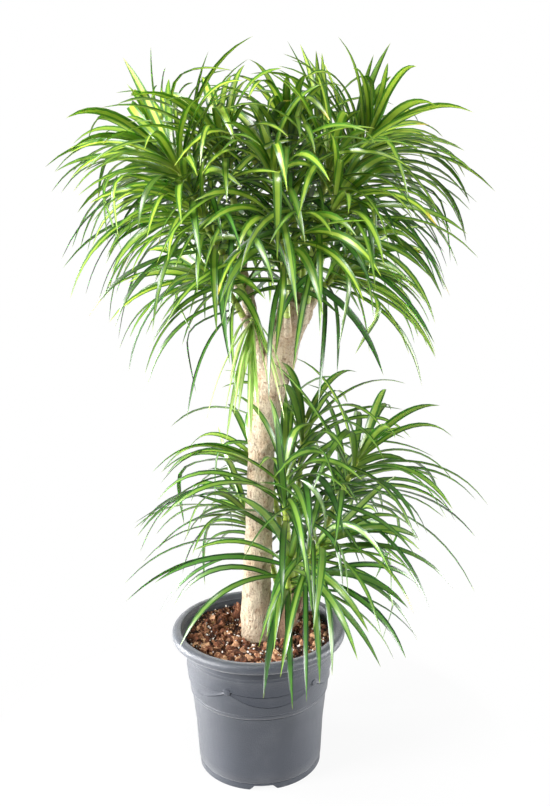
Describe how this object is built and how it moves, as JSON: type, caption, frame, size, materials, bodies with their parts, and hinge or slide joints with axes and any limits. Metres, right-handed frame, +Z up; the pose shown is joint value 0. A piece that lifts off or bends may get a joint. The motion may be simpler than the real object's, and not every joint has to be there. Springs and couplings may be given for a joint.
{
  "type": "potted dracaena",
  "caption": "Potted dracaena: a grey nursery pot with a swag relief, a tall forked cane under a wide umbrella of narrow arching leaves, and a short cane with a lower leafy tier.",
  "frame": {"origin": "centre of the pot's underside, on the flat pad in its middle, level with its foot ring", "axes": "+Z up, -Y to the front, the side that the picture shows"},
  "size_m": [0.6729, 0.6131, 1.176],
  "materials": {
    "pot_plastic": "moulded grey plastic, slightly sheeny on the rim",
    "potting_soil": "crumbly reddish-brown bark and peat mix with white perlite",
    "cane_bark": "pale pinkish-beige bark with fine upright fissures",
    "stump_bark": "darker pinkish-brown bark",
    "crown_leaf": "satin green leaf with a lighter yellow-green middle",
    "lower_leaf": "satin deep green leaf with a lighter middle"
  },
  "bodies": {
    "root": {"pot": "pot_plastic", "soil": "potting_soil", "main_cane": "cane_bark", "second_cane": "stump_bark", "crown_head_01": "crown_leaf", "crown_head_02": "crown_leaf", "crown_head_03": "crown_leaf", "crown_head_04": "crown_leaf", "crown_head_05": "crown_leaf", "crown_head_06": "crown_leaf", "crown_head_07": "crown_leaf", "crown_head_08": "crown_leaf", "crown_head_09": "crown_leaf", "crown_head_10": "crown_leaf", "crown_head_11": "crown_leaf", "crown_head_12": "crown_leaf", "crown_head_13": "crown_leaf", "crown_head_14": "crown_leaf", "crown_head_15": "crown_leaf", "crown_head_16": "crown_leaf", "crown_head_17": "crown_leaf", "crown_head_18": "crown_leaf", "lower_head_01": "lower_leaf", "lower_head_02": "lower_leaf", "lower_head_03": "lower_leaf", "lower_head_04": "lower_leaf", "lower_head_05": "lower_leaf", "lower_head_06": "lower_leaf", "lower_head_07": "lower_leaf", "lower_head_08": "lower_leaf"}
  },
  "joints": []
}
